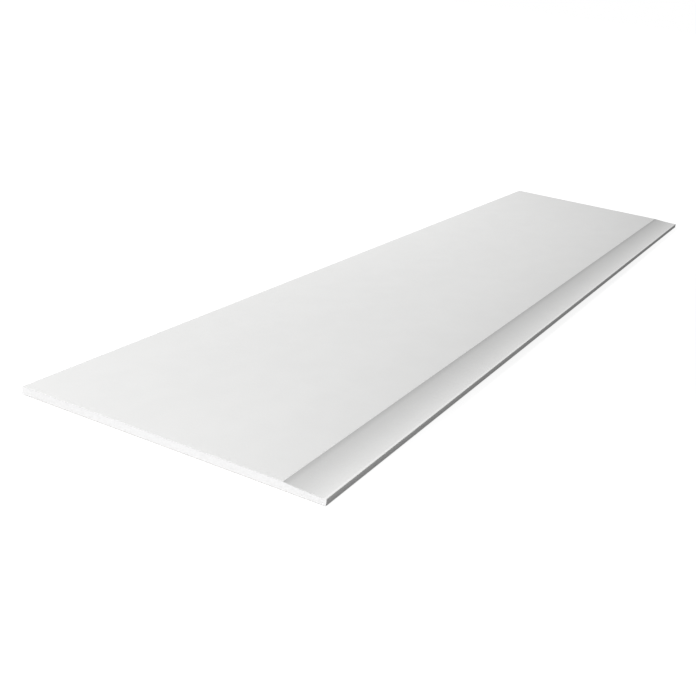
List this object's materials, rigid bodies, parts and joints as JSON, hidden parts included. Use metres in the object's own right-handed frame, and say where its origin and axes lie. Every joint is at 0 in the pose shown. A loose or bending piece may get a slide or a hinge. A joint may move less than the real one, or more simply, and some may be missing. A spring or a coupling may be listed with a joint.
{
  "type": "drywall sheet",
  "caption": "Flat gypsum board faced with paper, with square-cut ends and a shallow taping recess along one long edge of its front face.",
  "frame": {"origin": "the middle of the back face, which is also the bottom centre of the sheet's box as it lies", "axes": "+Z out of the front face, +Y along the length, +X across the width towards the recessed long edge"},
  "size_m": [0.6, 2.6, 0.015],
  "materials": {
    "face_paper": "matt",
    "back_paper": "matt",
    "gypsum": "matt"
  },
  "bodies": {
    "root": {"drywall_sheet": "face_paper"}
  },
  "joints": []
}
